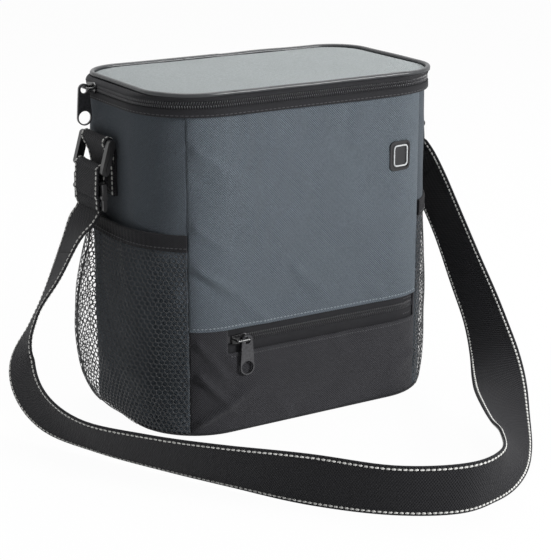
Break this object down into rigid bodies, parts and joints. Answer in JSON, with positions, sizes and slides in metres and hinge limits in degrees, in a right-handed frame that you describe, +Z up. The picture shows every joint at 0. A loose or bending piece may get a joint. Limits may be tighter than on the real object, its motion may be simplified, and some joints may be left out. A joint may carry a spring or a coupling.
{
  "type": "insulated cooler bag",
  "caption": "Soft-sided insulated lunch bag with a hinged zip-round lid, zipped front pocket, mesh side pockets and an adjustable shoulder strap clipped through swinging rings.",
  "frame": {"origin": "centre of the bag's footprint, on the plane it stands on", "axes": "+X towards the bag's right-hand side as seen from the front, +Y towards the back, +Z up"},
  "size_m": [0.3491, 0.3417, 0.245],
  "materials": {
    "grey_canvas": "blue-grey plain-weave polyester",
    "side_canvas": "darker blue-grey plain-weave polyester",
    "black_canvas": "black plain-weave polyester",
    "foam": "closed-cell polyethylene foam sheet",
    "silver_liner": "heat-welded foil-faced film, slightly crinkled",
    "binding": "black folded grosgrain binding",
    "piping_vinyl": "vinyl-covered piping cord",
    "zip_tape": "black woven zip tape",
    "zip_coil": "black nylon coil",
    "black_metal": "black enamelled die casting",
    "net": "black knitted hexagonal net",
    "elastic": "black folded elastic edging",
    "webbing": "black ribbed webbing with pale edge stitches",
    "black_nylon": "moulded black nylon",
    "patch_rubber": "moulded black rubber"
  },
  "bodies": {
    "bag": {"base_panel": "black_canvas", "front_panel": "grey_canvas", "pocket_panel": "black_canvas", "pocket_backing": "black_canvas", "side_panel_left": "side_canvas", "side_panel_right": "side_canvas", "back_panel": "black_canvas", "foam_front": "foam", "foam_back": "foam", "foam_left": "foam", "foam_right": "foam", "foam_base": "foam", "liner_tub": "silver_liner", "mouth_binding": "binding", "lower_band": "binding", "lower_zip_tape": "zip_tape", "lower_zip_coil": "zip_coil", "main_zip_stops": "black_metal", "hinge_strip": "binding", "pocket_tape_upper": "zip_tape", "pocket_tape_lower": "zip_tape", "pocket_coil_upper": "zip_coil", "pocket_coil_lower": "zip_coil", "pocket_zip_stops": "black_metal", "mesh_pocket_left": "net", "mesh_pocket_right": "net", "mesh_band_left": "elastic", "mesh_band_right": "elastic", "anchor_tab_left": "webbing", "anchor_tab_right": "webbing", "rubber_patch": "patch_rubber", "shoulder_strap": "webbing"},
    "lid": {"lid_panel": "grey_canvas", "lid_foam": "foam", "lid_liner": "silver_liner", "lid_binding": "binding", "lid_piping": "piping_vinyl", "upper_band": "binding", "hinge_flap": "binding", "upper_zip_tape": "zip_tape", "upper_zip_coil": "zip_coil"},
    "main_slider": {"main_zip_slider": "black_metal"},
    "main_pull": {"main_zip_pull": "black_metal"},
    "pocket_slider": {"pocket_zip_slider": "black_metal"},
    "pocket_pull": {"pocket_zip_pull": "black_metal"},
    "left_ring": {"ring_left": "black_nylon", "strap_loop_left": "webbing", "strap_adjuster": "black_nylon"},
    "right_ring": {"ring_right": "black_nylon", "strap_loop_right": "webbing"}
  },
  "joints": [
    {"name": "lid_hinge", "type": "hinge", "parent": "bag", "child": "lid", "pos_m": [0, 0.0709, 0.2366], "axis": [-1, 0, 0], "range_deg": [0, 170]},
    {"name": "main_zip_slide", "type": "slide", "parent": "bag", "child": "main_slider", "axis": [0, -1, 0], "range_m": [0, 0.043]},
    {"name": "main_pull_swing", "type": "hinge", "parent": "main_slider", "child": "main_pull", "pos_m": [-0.1265, 0.0345, 0.2366], "axis": [0, 1, 0], "range_deg": [0, 150]},
    {"name": "pocket_zip_slide", "type": "slide", "parent": "bag", "child": "pocket_slider", "axis": [1, 0, 0], "range_m": [0, 0.12]},
    {"name": "pocket_pull_swing", "type": "hinge", "parent": "pocket_slider", "child": "pocket_pull", "pos_m": [-0.056, -0.068, 0.06925], "axis": [0, 1, 0], "range_deg": [-75, 45]},
    {"name": "ring_left_swing", "type": "hinge", "parent": "bag", "child": "left_ring", "pos_m": [-0.124, 0.02, 0.2025], "axis": [0, 1, 0], "range_deg": [-6, 75]},
    {"name": "ring_right_swing", "type": "hinge", "parent": "bag", "child": "right_ring", "pos_m": [0.124, 0.02, 0.2025], "axis": [0, -1, 0], "range_deg": [-5, 75]}
  ]
}
